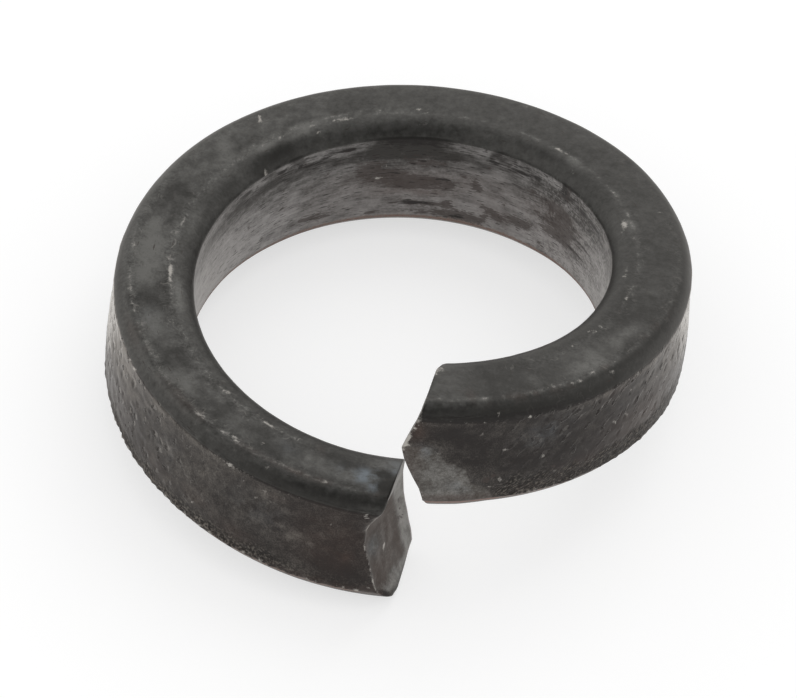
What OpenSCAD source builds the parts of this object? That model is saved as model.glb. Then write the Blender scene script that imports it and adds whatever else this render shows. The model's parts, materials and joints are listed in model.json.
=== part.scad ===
// High-collar helical spring lock washer, sized for a 5/8 in (16 mm) socket-head screw.
// The bore axis is Z, the split faces the front (-Y), and the coil's lowest edge is at z = 0.
// Seen from above, the bar winds clockwise and rises, from the low end round to the high end.

/* [Bore and section] */

// Diameter of the bore, measured between the plain bore walls
bore_d = 16.1; // [6:0.1:40]
// Width of the bar's section, from the bore wall to the outer wall
section_w = 3.15; // [1:0.05:10]
// Thickness of the bar's section, from the lower land to the upper land
section_t = 5.2; // [1:0.1:12]

/* [Rolled shoulders] */

// Radial width of the rounded shoulders beside the bore
inner_shoulder_w = 0.95; // [0.1:0.05:1.4]
// How far those shoulders have dropped where they meet the bore wall
inner_shoulder_drop = 0.55; // [0.1:0.05:1.5]
// Radial width of the rounded shoulders beside the outer wall
outer_shoulder_w = 0.65; // [0.1:0.05:1.4]
// How far those shoulders have dropped where they meet the outer wall
outer_shoulder_drop = 0.65; // [0.1:0.05:1.5]
// Angle that a shoulder's arc has turned through where it meets its wall
shoulder_turn = 68; // [30:1:85]

/* [Coil] */

// Height that the bar gains in one full turn, with no load on the washer
coil_rise = 5.2; // [0:0.1:12]
// How far below the line of the coil the shear has set the low end
low_end_set = 0.15; // [0:0.01:0.3]
// Length of coil over which that set fades, as an angle
low_end_run = 12; // [4:1:40]

/* [Sheared ends] */

// Gap between the two ends at mid-width, from the low end's hollow to the high end's nose
split_gap = 1; // [0.2:0.1:5]
// Place of the low end's hollow, to the right of the front centre line
split_shift = 0.3; // [-2:0.1:2]
// Angle of both cuts away from the front-to-back direction, seen from above
split_skew = 19; // [0:1:35]
// Height above mid-section of the hollow in the low end's face
low_hollow_up = 0.9; // [0:0.05:2]
// How far the low end's top edge stands out past its hollow
low_lip = 0.6; // [0:0.05:1.2]
// How far the low end's bottom edge stands out past its hollow
low_foot = 0.8; // [0:0.05:2]
// Height above mid-section of the nose on the high end's face
high_nose_up = 0.45; // [0:0.05:2]
// How far the high end's top edge sits back from its nose
high_lip = 0.35; // [0:0.05:1.2]
// How far the high end's bottom edge is undercut behind its nose
high_undercut = 1.15; // [0:0.05:2]

/* [Resolution] */

// Number of stations along the coil
coil_stations = 91; // [41:1:141]
// Number of steps in each shoulder's arc
shoulder_steps = 4; // [2:1:8]

/* [Hidden] */

bore_r = bore_d / 2;
outer_r = bore_r + section_w;
mid_r = bore_r + section_w / 2;
land_in = bore_r + inner_shoulder_w;
land_out = outer_r - outer_shoulder_w;
half_t = section_t / 2;
// The swept bar is made wider than the section by this much, and the two walls trim it
trim = 0.35;
wall_h = coil_rise + section_t + 2;

// Height of the land above a shoulder's arc, at a share of the arc from land to wall
function shoulder_point(w, drop, k) = let (a = shoulder_turn * k)
    [w * sin(a) / sin(shoulder_turn), drop * (1 - cos(a)) / (1 - cos(shoulder_turn))];

// One shoulder, as [distance out from the land, drop]. Its last step runs straight on past the wall,
// so that no corner of the swept bar lies on the wall itself.
function shoulder(w, drop) = let (
    p = shoulder_point(w, drop, 1 - 1 / shoulder_steps),
    q = [w, drop],
    past = trim / (q[0] - p[0])
) concat(
    [for (i = [1 : shoulder_steps - 1]) shoulder_point(w, drop, i / shoulder_steps)],
    [q + (q - p) * past]
);

inner_arc = shoulder(inner_shoulder_w, inner_shoulder_drop);
outer_arc = shoulder(outer_shoulder_w, outer_shoulder_drop);

// Half of the section's outline, from the bore side to the outer side, as [radius, drop below the land]
half_outline = concat(
    [for (i = [shoulder_steps - 1 : -1 : 0]) [land_in - inner_arc[i][0], inner_arc[i][1]]],
    [[land_in, 0], [land_out, 0]],
    [for (p = outer_arc) [land_out + p[0], p[1]]]
);

// Heights at which an end face bends, from the upper one to the lower one
bends = low_hollow_up == high_nose_up
    ? [high_nose_up]
    : [max(low_hollow_up, high_nose_up), min(low_hollow_up, high_nose_up)];

// The closed outline as [radius, height above mid-section]: over the top, down the outside and back below
outline = concat(
    [for (p = half_outline) [p[0], half_t - p[1]]],
    [for (h = bends) [outer_r + trim, h]],
    [for (i = [len(half_outline) - 1 : -1 : 0]) [half_outline[i][0], half_outline[i][1] - half_t]],
    [for (i = [len(bends) - 1 : -1 : 0]) [bore_r - trim, bends[i]]]
);

// Sideways place of an end face at mid-width, for a height above mid-section: it bends at one height
function face_x(h, bend, at_bend, at_top, at_bottom) = h >= bend
    ? at_bend + at_top * (h - bend) / (half_t - bend)
    : at_bend + at_bottom * (bend - h) / (half_t + bend);
function low_x(h) = face_x(h, low_hollow_up, split_shift, low_lip, low_foot);
function high_x(h) = face_x(h, high_nose_up, split_shift + split_gap, high_lip, high_undercut);

// Angle around the coil, clockwise from the front, at which a skewed cut meets a radius
function cut_angle(r, x) = split_skew - asin((x * cos(split_skew) + mid_r * sin(split_skew)) / r);
foot_angle = cut_angle(land_in, low_x(-half_t));

// Height of the lower land at an angle around the coil
function coil_z(a) = coil_rise * (a - foot_angle) / 360
    + low_end_set * (exp(-(a - foot_angle) / low_end_run) - 1);

// One corner of the section, at a share of the way from the low end's face to the high end's
function coil_point(p, k) = let (
    a0 = cut_angle(p[0], low_x(p[1])),
    a1 = 360 + cut_angle(p[0], high_x(p[1])),
    a = a0 + (a1 - a0) * k
) [-p[0] * sin(a), -p[0] * cos(a), coil_z(a) + half_t + p[1]];

// The bar swept along the coil between its two sheared ends, wider than the section by the trim
module swept_bar() {
    n = len(outline);
    top = len(half_outline);
    b = len(bends);
    last = (coil_stations - 1) * n;
    function at(s, i) = s * n + i % n;
    // An end face is flat above, between and below its bends
    end_face = concat(
        [concat([for (i = [0 : top]) i], [n - 1])],
        b == 2 ? [[top, top + 1, n - 2, n - 1]] : [],
        [[for (i = [top + b - 1 : n - b]) i]]
    );
    polyhedron(
        points = [for (s = [0 : coil_stations - 1]) for (p = outline) coil_point(p, s / (coil_stations - 1))],
        faces = concat(
            [for (s = [0 : coil_stations - 2]) for (i = [0 : n - 1]) each [
                [at(s, i), at(s, i + 1), at(s + 1, i + 1)],
                [at(s, i), at(s + 1, i + 1), at(s + 1, i)]
            ]],
            [for (f = end_face) [for (k = [len(f) - 1 : -1 : 0]) f[k]]],
            [for (f = end_face) [for (i = f) i + last]]
        ),
        convexity = 6
    );
}

// The plain tube that gives the bar its true outer wall and its true bore wall
module walls() {
    difference() {
        translate([0, 0, -1]) cylinder(h = wall_h, r = outer_r, $fn = 360);
        translate([0, 0, -2]) cylinder(h = wall_h + 2, r = bore_r, $fn = 360);
    }
}

// The whole object: one coiled and sheared piece of dark spring steel
module washer() {
    color([0.29, 0.29, 0.28])
    intersection() {
        swept_bar();
        walls();
    }
}

washer();
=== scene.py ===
"""Looks of the spring lock washer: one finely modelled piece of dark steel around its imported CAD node.

Places on the bar are given by the angle clockwise from the front (a), the radius (r) and the height above mid-section
(v). Lengths are in millimetres and angles in degrees, and the mesh is scaled to metres at the end.
"""

import json
import math

import bpy
import numpy as np
from mathutils import Matrix, Vector

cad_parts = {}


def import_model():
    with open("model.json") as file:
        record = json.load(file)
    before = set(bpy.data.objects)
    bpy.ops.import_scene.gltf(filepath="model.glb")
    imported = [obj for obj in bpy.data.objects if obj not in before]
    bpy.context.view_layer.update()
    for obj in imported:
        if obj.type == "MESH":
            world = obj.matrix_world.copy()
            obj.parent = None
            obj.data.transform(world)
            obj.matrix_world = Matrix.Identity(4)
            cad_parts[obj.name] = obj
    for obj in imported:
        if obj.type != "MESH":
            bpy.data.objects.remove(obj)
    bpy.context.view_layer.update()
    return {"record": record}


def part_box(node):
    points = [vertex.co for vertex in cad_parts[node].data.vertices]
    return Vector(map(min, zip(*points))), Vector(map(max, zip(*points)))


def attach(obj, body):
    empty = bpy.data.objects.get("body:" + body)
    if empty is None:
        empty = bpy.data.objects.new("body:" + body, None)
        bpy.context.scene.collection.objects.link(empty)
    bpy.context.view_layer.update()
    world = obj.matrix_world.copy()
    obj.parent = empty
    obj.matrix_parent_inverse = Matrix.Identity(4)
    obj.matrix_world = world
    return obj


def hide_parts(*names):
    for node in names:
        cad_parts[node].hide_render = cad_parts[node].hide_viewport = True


MM = 0.001
# Noise: its seed, and the size of the lattice of values that it repeats over
SEED, LATTICE = 11, 257

# Bar and coil, as in the part's source
WIDTH, THICKNESS = 3.15, 5.2
INNER_SHOULDER = (0.95, 0.55)
OUTER_SHOULDER = (0.65, 0.65)
SHOULDER_TURN = 68
COIL_RISE = 5.2
LOW_SET = 0.15
LOW_SET_RUN = 12
FOOT_ANGLE = -8.63
HALF = THICKNESS / 2
# Height of the section's corners on the outer wall, above and below mid-section
OUTER_CORNER = HALF - OUTER_SHOULDER[1]
# Radius at the middle of the land
LAND_MIDDLE = 9.75

# Sheared faces: sideways place of each face (mm right of the front centre line) against height above
# mid-section, on the outer wall and on the bore wall
LOW_OUT = (
    [-2.6, -2.3, -1.98, -1.63, -0.72, -0.27, 0.5, 0.95, 1.25, 1.5, 1.87, 2.3, 2.6],
    [1.07, 0.75, 0.4, 0.26, 0.02, -0.1, -0.32, -0.36, -0.24, -0.05, 0.17, 0.33, 0.36],
)
LOW_IN = ([-2.6, -2.05, -1.5, -1.0, -0.5, 0.0, 0.5, 1.5, 2.6], [1.47, 1.53, 1.45, 1.32, 1.22, 1.1, 1.0, 0.89, 0.92])
HIGH_OUT = (
    [-2.6, -1.85, -1.39, -0.85, -0.36, 0.02, 0.53, 1.0, 1.5, 1.95, 2.2, 2.6],
    [1.87, 1.64, 1.49, 1.21, 0.98, 0.82, 0.68, 0.83, 1.02, 1.15, 1.23, 1.3],
)
HIGH_IN = ([-2.6, -0.9, 0.5, 1.3, 2.6], [2.75, 2.05, 1.6, 1.68, 1.8])

# Mesh resolution: cells along the coil, and across the top and the bottom (inner shoulder, land, outer shoulder), down
# the outer wall and up the bore wall. Cells crowd towards the split.
STATIONS = 660
TOP_CELLS = (12, 14, 10)
LOW_CELLS = (6, 8, 6)
WALL_CELLS = 50
BORE_CELLS = 34
# Cells by which the two walls' finish runs on over the lower shoulders
BORE_LAP, WALL_LAP = 3, 6
CROWDING = 0.28
ROUND_STEPS = 4
CAP_RINGS = 16

# Fields painted on the surface, which the steel's shader reads. Besides stains and wear, some carry painted light and
# shade
FIELDS = (
    "pale", "haze", "blot", "deep", "brown", "blue", "rust", "rough", "knurl", "scratch", "sheen", "glaze",
    "zone_bore", "zone_wall", "zone_end",
)

# ---- wear and marks
# Each mark is (angle, place across, length along, width across, strength, slant if any). Place across is the radius on
# the top, and the height above mid-section on a wall.

TOP_PALE = [
    (27, 10.02, 0.4, 0.12, 0.55, -60), (32.2, 10.5, 0.4, 0.12, 0.9, -22), (23, 10.88, 0.12, 0.13, 0.9),
    (10.8, 10.62, 0.12, 0.12, 0.7), (21, 8.95, 0.24, 0.1, 0.5, 60), (30.5, 8.97, 0.5, 0.13, 0.6),
    (43, 8.93, 0.5, 0.13, 0.5), (34.5, 10.8, 0.18, 0.12, 0.45), (86, 9.02, 0.3, 0.14, 0.9),
    (88.3, 9.03, 0.2, 0.12, 0.7), (90, 9.12, 0.12, 0.12, 0.6), (83.5, 9, 0.3, 0.12, 0.4),
    (141.6, 10.18, 0.14, 0.14, 0.9), (142.3, 10.4, 0.42, 0.11, 0.85, 68), (152.8, 8.62, 0.14, 0.14, 0.9),
    (160.5, 8.95, 0.5, 0.16, 0.7), (179.5, 9.2, 0.16, 0.16, 0.7), (181, 8.46, 0.6, 0.12, 0.4),
    (190, 8.85, 0.14, 0.12, 0.5), (217, 10.42, 0.12, 0.14, 0.5), (218.5, 9.02, 0.24, 0.13, 0.8, -12),
    (221, 9.04, 0.15, 0.14, 0.8), (227, 8.46, 0.5, 0.12, 0.4, -15), (254, 8.7, 0.4, 0.2, 1.2, -8),
    (257, 8.56, 0.5, 0.11, 0.45, -18), (251, 10.28, 0.12, 0.34, 0.45), (257, 9.2, 0.15, 0.15, 0.4),
    (260, 8.87, 0.3, 0.12, 0.5), (274.5, 8.58, 0.7, 0.13, 0.45), (277, 8.56, 0.16, 0.13, 0.6),
    (283, 8.94, 0.7, 0.12, 0.4), (286.5, 9.02, 0.16, 0.12, 0.6), (300.6, 8.95, 0.16, 0.13, 0.8, -20),
    (303, 8.95, 0.2, 0.13, 0.9, -20), (304.2, 8.8, 0.16, 0.12, 0.6), (312, 9.02, 0.13, 0.12, 0.7),
    (310.6, 10.88, 0.24, 0.16, 0.55), (314.5, 10.55, 0.22, 0.12, 0.5), (318.5, 10.7, 0.17, 0.13, 0.6),
    (320.4, 10.68, 0.15, 0.13, 0.6), (323.3, 10.75, 0.14, 0.12, 0.5), (326, 10.55, 0.14, 0.12, 0.6),
    (338, 11.1, 0.1, 0.1, 0.6), (133.9, 8.07, 0.12, 0.2, 1.2), (348.6, 8.82, 0.35, 0.35, 0.75),
    (349.6, 9.17, 0.16, 0.16, 0.7),
]
TOP_HAZE = [
    (15, 9.7, 0.8, 0.5, 0.35), (10, 10, 1.1, 0.6, 0.25), (-3, 8.8, 1.1, 1, 0.4), (52, 10.1, 1.5, 0.8, 0.35, 20),
    (49, 10.2, 0.8, 0.4, 0.3), (66, 9.9, 1.7, 1, 0.28), (71, 10.1, 0.8, 0.6, 0.3), (76, 8.75, 1.2, 0.4, 0.45),
    (81, 8.7, 0.8, 0.3, 0.3), (84, 10.1, 1.2, 0.9, 0.4), (90, 9.9, 1.6, 1.2, 0.5), (96, 10, 1.2, 0.8, 0.5),
    (101, 10.1, 0.8, 0.5, 0.45), (105, 8.6, 1.2, 0.4, 0.25), (128, 8.5, 1, 0.4, 0.25),
    (131, 10.1, 0.5, 0.4, 0.3), (138, 8.9, 0.8, 0.3, 0.45), (148, 8.8, 0.9, 0.3, 0.45),
    (150, 9.12, 1.6, 0.3, 0.35), (225, 8.85, 0.9, 0.4, 0.4), (255, 8.9, 0.8, 0.4, 0.3),
    (297, 10, 1.2, 0.5, 0.4, -15), (303, 9.95, 0.6, 0.5, 0.35), (310, 9.8, 1.2, 0.8, 0.3),
    (316, 10.1, 1.4, 0.8, 0.3), (312, 10.3, 1.5, 0.4, 0.3), (328, 9.9, 0.4, 0.6, 0.25),
    (59, 9.7, 1.2, 0.9, -0.18), (77, 9.9, 1.2, 0.9, -0.25), (112, 9.8, 1.8, 1, -0.25), (8, 9.1, 1.2, 0.5, -0.2),
    (-2, 10.2, 0.7, 0.9, -0.8), (-1, 9.55, 0.5, 0.3, -0.5), (316, 9.2, 2.2, 0.5, 0.12),
]
TOP_BLUE = [
    (2.6, 9.7, 0.75, 0.5, 1.1, 30), (1.2, 10.25, 0.3, 0.5, 1.2), (4.2, 9.85, 0.5, 0.55, 0.8),
    (-0.3, 9.4, 0.3, 0.3, 0.4), (-3.5, 9.35, 0.25, 0.3, 0.6), (8.5, 9.75, 0.8, 0.5, 0.25),
    (22, 9.6, 0.7, 0.7, 0.12), (-4, 8.9, 0.8, 0.7, 0.3), (71, 10.1, 1, 0.7, 0.15),
]
TOP_BROWN = [
    (47, 10.7, 2, 0.35, 0.5), (18, 10.6, 2, 0.2, 0.4), (68, 10.85, 1.6, 0.3, 0.35), (343, 10.4, 0.3, 0.5, 0.5),
    (15, 8.95, 0.5, 0.3, 0.3, -60),
]
WALL_PALE = [
    (2, -1.95, 0.16, 0.1, 0.7), (-0.2, -1.7, 0.18, 0.07, 0.7, 30), (-0.4, -2, 0.12, 0.08, 0.9),
    (-2.4, -1.98, 0.1, 0.08, 0.6), (-0.9, -1.35, 0.12, 0.1, 0.5), (1.8, 1.92, 0.09, 0.16, 1),
    (1.2, 1.76, 0.24, 0.1, 0.8, 25), (22.3, 1.55, 0.2, 0.2, 0.45), (24, 1.05, 0.26, 0.13, 0.55, -40),
    (20.3, 1.15, 0.3, 0.15, 0.45), (28, 1.15, 0.15, 0.2, 0.4), (27, 1.55, 0.2, 0.13, 0.4),
    (18.3, 1.6, 0.2, 0.15, 0.4, -30), (30.5, 1.9, 0.16, 0.12, 0.8), (10, 1.75, 0.13, 0.16, 0.4),
    (8.2, 1.1, 0.15, 0.13, 0.4), (5.5, 1.45, 0.13, 0.16, 0.35), (21, -0.15, 0.13, 0.13, 0.45),
    (38.5, -1.1, 0.26, 0.1, 0.8, -50), (48.3, 0.1, 0.2, 0.2, 0.4), (306.3, 0.1, 0.3, 0.11, 0.7, 50),
    (310, 0.1, 0.3, 0.11, 0.7, 50), (305.7, 1.25, 0.25, 0.11, 0.6, 50), (314, 1.25, 0.25, 0.11, 0.6, 50),
    (296, 0.75, 0.3, 0.12, 0.7, 50), (336, 0.45, 0.26, 0.11, 0.7), (336.4, -1.02, 0.16, 0.26, 0.8, -20),
    (324.7, -1.12, 0.13, 0.3, 0.5, -20), (327.6, -0.2, 0.12, 0.12, 1.1), (331.5, 1.93, 0.11, 0.11, 0.7),
    (349.3, 0.42, 0.11, 0.11, 1), (341, 1.35, 0.13, 0.13, 0.5), (338.3, -1.32, 0.22, 0.12, 0.6),
    (341, 1.93, 0.16, 0.1, 0.3), (344.5, 1.93, 0.1, 0.1, 0.4), (355.9, 0.72, 0.3, 0.12, 1.1),
    (355.5, 1.05, 0.16, 0.36, 1.1, 25), (354.3, 1.55, 0.1, 0.16, 0.8), (61.5, 1.9, 0.4, 0.12, 0.9, -45),
    (64, 1.9, 0.4, 0.12, 0.6, -45),
]
WALL_HAZE = [
    (14.5, 0.1, 0.4, 0.25, 0.5), (16, -0.12, 0.4, 0.3, 0.4), (12, -0.15, 0.25, 0.35, 0.4),
    (22, 1.4, 1, 0.6, 0.3), (18.5, 0.2, 0.3, 0.2, 0.35), (47, 0.3, 0.8, 0.5, 0.35), (31, 0.2, 3, 2.5, 0.1),
    (348, -0.6, 1, 0.7, 0.3), (344, -1, 0.5, 0.5, 0.35), (347, -1.6, 1.2, 0.3, 0.2), (5, -0.9, 1.6, 1.4, -0.3),
    (348, 1.4, 2.2, 1, -0.35), (342, 0.3, 1.6, 1.6, -0.3), (332, -0.2, 2.5, 1.2, -0.15),
]
WALL_BROWN = [
    (355, 1.5, 0.9, 0.9, 0.5), (8, 0.2, 2.6, 3, 0.5), (5, -0.3, 0.45, 0.5, 0.5), (28, -1.3, 1.4, 0.9, 0.5),
    (38, -0.7, 1, 0.8, 0.3), (20, 1.5, 0.8, 0.4, 0.25), (50, -1, 1.8, 0.9, 0.3), (300, -0.6, 3.5, 1.6, 0.6),
    (353.5, 1.3, 0.5, 0.8, 0.35), (346, -1.75, 1.2, 0.25, 0.4), (330, -1.6, 2.6, 0.5, 0.4),
    (318, -1.2, 2, 0.6, 0.4), (310, 1.7, 1.2, 0.3, 0.35), (62, 0.4, 2, 1.6, 0.1), (70, -1, 3.5, 1.8, 0.25),
]
WALL_BLUE = [
    (352.6, 0.45, 0.7, 0.5, 0.3), (325, 1.2, 1.3, 0.9, 0.16), (330, 0.8, 1.2, 0.8, 0.14),
    (306, 0.7, 0.8, 0.6, 0.12), (47, 0.3, 1.4, 1, 0.12), (24, 0.5, 2, 1.2, 0.1), (58, -0.1, 0.8, 0.8, 0.1),
    (344, -1.1, 0.8, 0.6, 0.2),
]
WALL_BLOT = [
    (-0.4, -1.82, 0.6, 0.3, 1.1), (-1.2, -1.6, 0.2, 0.4, 1), (11, 0.33, 0.28, 0.24, 0.7, -30),
    (24.2, -1.38, 0.15, 0.15, 0.9), (25.2, -1.33, 0.13, 0.15, 0.9), (27.3, -1.72, 0.24, 0.19, 1),
    (37.5, 2, 0.5, 0.12, 0.8), (339.3, -0.98, 0.3, 0.26, 0.9, -40), (337.9, -0.78, 0.2, 0.13, 0.9),
    (325, -0.85, 0.24, 0.16, 0.8), (46, -0.25, 0.16, 0.16, 0.7), (20.5, 1.5, 0.1, 0.3, 0.5),
]
BORE_BLOT = [
    (182.5, 0.82, 1.5, 0.45, 0.75), (167.3, 0.5, 0.95, 0.9, 1), (173, 0.25, 1.2, 0.3, 0.9),
    (177, -0.15, 1.9, 0.45, 1), (179, -0.42, 1.4, 0.35, 0.9), (187, -0.05, 1.6, 0.25, 0.8),
    (189.5, -0.35, 0.9, 0.45, 0.7), (182, -1.3, 2.1, 0.18, 1.1), (190.2, -1.22, 0.35, 0.25, 0.9),
    (194, -1.75, 1.6, 0.55, 1), (198, -1.82, 0.8, 0.35, 0.8), (182, -1.75, 1.2, 0.35, 0.55),
    (194.5, 0.37, 0.35, 0.22, 0.8), (198, 0.3, 0.25, 0.35, 0.7), (198.8, -0.08, 0.5, 0.25, 0.8),
    (201.5, 1.05, 0.18, 0.25, 0.8), (203, -1.05, 0.9, 0.25, 0.9, -25), (205.5, -1.35, 0.5, 0.3, 0.8, -25),
    (202, -1.4, 0.2, 0.3, 0.7), (212.3, -1.1, 1, 0.5, 1), (215.6, -1.15, 0.3, 0.3, 0.8),
    (207.5, -0.5, 0.2, 0.2, 0.6), (218.5, -0.15, 0.25, 0.12, 0.8), (221, -1.62, 0.35, 0.15, 0.9, -25),
    (216, 0.7, 0.6, 0.3, 0.7), (225, 0.65, 1.2, 0.4, 0.9), (230, 0.45, 1, 0.55, 1), (227, -0.1, 1.7, 0.35, 1),
    (231, -0.25, 0.8, 0.5, 0.9), (225, -0.65, 1.3, 0.45, 1), (229.5, -0.7, 1, 0.3, 0.9),
    (238.5, -0.1, 1.7, 0.12, 0.8, -2), (237, -0.75, 2, 0.13, 0.8, -2), (229.5, 1.8, 0.4, 0.6, 0.9),
    (229, 1.45, 0.9, 0.22, 0.5), (238, 0.25, 0.4, 0.15, 0.6), (246, -0.5, 0.16, 0.16, 0.6),
    (247.5, -1.3, 0.2, 0.13, 0.6), (232, -1.3, 0.9, 0.2, 0.5), (228, -1.55, 0.4, 0.15, 0.6),
    (236.5, -1.6, 0.3, 0.13, 0.5), (126.5, 1.65, 0.5, 0.13, 0.9), (139.7, 1.68, 0.3, 0.13, 0.9),
    (160, 1.72, 0.7, 0.14, 1), (122, 1.35, 0.5, 0.12, 0.7), (119, 1.3, 0.2, 0.13, 0.9),
    (115.5, 1.12, 0.25, 0.13, 0.8, -20), (109, 1.2, 0.6, 0.16, 0.5), (131.5, 1, 0.15, 0.12, 0.7),
    (133, 1.02, 0.13, 0.12, 0.7), (140.5, 0.65, 0.4, 0.13, 0.6, -25), (141, -0.3, 0.25, 0.16, 0.9),
    (128.5, -0.27, 0.12, 0.2, 0.7), (123.2, -1, 0.12, 0.12, 0.6), (137, -0.75, 0.25, 0.12, 0.6),
    (139.3, -0.95, 0.3, 0.12, 0.7), (134.2, -1.4, 0.15, 0.25, 0.6), (123, -1.7, 0.4, 0.13, 0.6),
    (130.5, -1.6, 0.3, 0.12, 0.7), (150.5, -0.75, 0.3, 0.11, 0.6), (154.5, 0.65, 0.2, 0.15, 0.6),
    (156.5, -1.15, 0.2, 0.11, 0.6), (150, -1.45, 1.8, 0.3, 0.65), (155, -1.6, 0.8, 0.2, 0.5),
    (168, -1.8, 0.3, 0.11, 0.8), (170.3, -1.77, 0.3, 0.11, 0.8), (174.5, -1.75, 0.5, 0.11, 0.8),
    (148, 1.4, 1.2, 0.11, 0.7), (115, -1.2, 0.2, 0.11, 0.5),
]
BORE_PALE = [
    (170, 0, 0.4, 0.13, 0.8, -5), (150.5, -1.72, 0.3, 0.12, 0.45, 45), (240.5, 0.5, 0.11, 0.2, 0.5),
    (171, 0.65, 0.11, 0.3, 0.4), (172.2, 0.65, 0.11, 0.3, 0.4),
]
BORE_DEEP = [
    (211.5, 1.46, 0.8, 0.12, 0.95), (210.5, 1.72, 0.6, 0.11, 0.7), (217.5, 1.58, 0.4, 0.11, 0.8, -4),
    (160, 1.72, 0.8, 0.12, 1), (154, 1.62, 0.5, 0.11, 0.8, 3), (245, 1.48, 0.9, 0.12, 0.95),
    (237, 1.5, 1, 0.12, 0.95), (238.5, -0.1, 1.7, 0.13, 0.9, -2), (237, -0.75, 2, 0.13, 0.9, -2),
    (181.5, -1.3, 1.5, 0.16, 1.1), (126.5, 1.66, 0.6, 0.13, 1), (139.7, 1.68, 0.4, 0.14, 1),
    (119, 1.3, 0.3, 0.13, 0.9), (150, 1.4, 1.4, 0.11, 0.8), (184, 0.75, 1.4, 0.3, 0.5),
    (203, 1.42, 0.5, 0.13, 0.9), (188, -0.02, 1.1, 0.16, 0.8), (194, -1.78, 0.9, 0.19, 0.9),
    (174, 0.27, 0.8, 0.14, 0.8), (146, 1.6, 0.2, 0.14, 0.9), (228, 1.75, 0.3, 0.56, 0.8),
    (251, 1.2, 0.5, 0.13, 0.8), (243, 0.9, 0.5, 0.11, 0.7, -3), (132, 0.35, 0.4, 0.11, 0.6, 2),
    (161, -0.9, 0.6, 0.11, 0.6),
]
BORE_BROWN = [
    (178, -0.3, 3, 0.9, 0.5), (227, 0, 2.6, 1.8, 0.45), (200, 0.2, 4, 1.6, 0.2), (205, -1.2, 1.4, 0.6, 0.4),
    (181, -0.75, 2.4, 0.2, 0.5),
]

# Strength of long features around the coil, by angle. On the top: worn lines along the land, painted light and shade
# and mottling on the land and the shoulders, painted shade on the shoulders' outer corners, and fine scratches
LAND_LINE_IN = {
    0: 0.1, 20: 0.25, 30: 0.45, 36: 0.3, 45: 0.42, 60: 0.25, 75: 0.3, 84: 0.5, 90: 0.5, 95: 0.42, 115: 0.4, 130: 0.3,
    140: 0.4, 165: 0.38, 180: 0.28, 200: 0.2, 210: 0.3, 220: 0.5, 226: 0.5, 245: 0.4, 262: 0.25, 283: 0.3, 290: 0.15,
    310: 0.05,
}
SECOND_LINE = {118: 0, 140: 0.3, 175: 0.3, 195: 0.05, 205: 0}
LAND_LINE_OUT = {
    -4: 0.1, 5: 0.25, 20: 0.3, 30: 0.42, 80: 0.42, 95: 0.25, 110: 0.1, 270: 0.1, 285: 0.12, 300: 0.12, 312: 0.15,
    322: 0.36, 345: 0.28, 353: 0.1,
}
LAND_PAINTED_SHADING = {
    -5: 0, 15: -0.06, 40: -0.12, 65: 0, 90: -0.08, 115: 0.17, 140: 0.04, 165: 0, 215: -0.08, 240: -0.13, 265: -0.13,
    290: -0.22, 315: -0.18, 330: -0.18, 338: -0.24, 346: -0.02,
}
LAND_MOTTLE = {
    -10: 0.5, 50: 0.5, 65: 0.4, 110: 0.5, 150: 0.5, 165: 0.15, 270: 0.2, 285: 0.25, 315: 0.25, 335: 0.15, 350: 0.1,
}
OUTER_SHOULDER_PAINTED_SHADING = {
    -8: 0.25, 15: 0.4, 30: 0.3, 36: 0.4, 50: 0.5, 62: 0.2, 90: 0.1, 295: -0.15, 310: -0.12, 320: -0.1, 329: 0.03,
    340: 0.1, 350: 0.22,
}
SHOULDER_CORNER_PAINTED_SHADE = {-8: 0.2, 0: 0.6, 16: 0.45, 30: 0.55, 46: 0.5, 54: 0, 305: 0, 318: 0.55, 330: 0.8, 352: 0.7}
INNER_SHOULDER_PAINTED_SHADING = {
    80: -0.05, 95: -0.18, 118: -0.33, 140: -0.4, 155: 0.15, 200: 0.22, 215: 0, 237: 0.02, 255: 0.12, 275: 0.1,
}
SCRATCHED = {
    -8: 0.3, 15: 0.5, 40: 1, 100: 1, 125: 0.4, 150: 0.2, 170: 0, 210: 0, 235: 0.2, 300: 0.6, 325: 0.6, 345: 0.1,
}

# On the bore wall: a pale strip under the corner, a dark band below it, the strip's break at the back filled with
# painted shade, painted light and shade as a level and slopes up and down the wall, spots, drawn streaks, oil and rust
BORE_STRIP = {
    95: 0.2, 120: 0.35, 122: 0.1, 125: 0.45, 132: 0.6, 141: 0.6, 142.5: 0, 146: 0, 147.5: 0.42, 157: 0.55, 164: 0.5,
    168: 0.3, 172: 0.15, 175: 0, 185: 0, 188: 0.2, 195: 0.25, 202: 0.3, 204: -0.5, 207.5: -0.4, 209: 0.2, 219: 0.2,
    227: 0.32, 228: -0.1, 231: 0, 232.5: 0.35, 260: 0.2,
}
BORE_BAND = {
    100: 0.1, 125: 0.3, 135: 0.35, 145: 0.35, 160: 0.4, 170: 0.75, 190: 0.75, 198: 0.35, 205: 0.2, 215: 0.1, 230: 0.1,
}
BORE_PAINTED_SHADE_GAP = {165: 0, 174: 0.9, 178: 1, 184: 0.9, 192: 0}
BORE_PAINTED_SHADING = {95: 0.3, 110: 0.36, 124: 0.27, 139: 0.1, 155: 0.03, 172: 0, 204: 0.05, 219: 0.1, 234: 0, 250: 0.18}
BORE_PAINTED_SHADE_UP = {
    100: 0.45, 125: 0.62, 140: 0.42, 155: 0.3, 165: 0.3, 185: 0.3, 200: 0.14, 214: 0.2, 224: 0.12, 230: 0.22,
    236: 0.25, 245: 0.3, 255: 0.22,
}
BORE_PAINTED_LIGHT_DOWN = {215: 0.08, 228: 0.24, 240: 0.24, 255: 0.08}
BORE_SPOTS = {100: 0.3, 130: 0.5, 160: 0.4, 200: 0.4, 225: 0.8, 255: 0.8}
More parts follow.
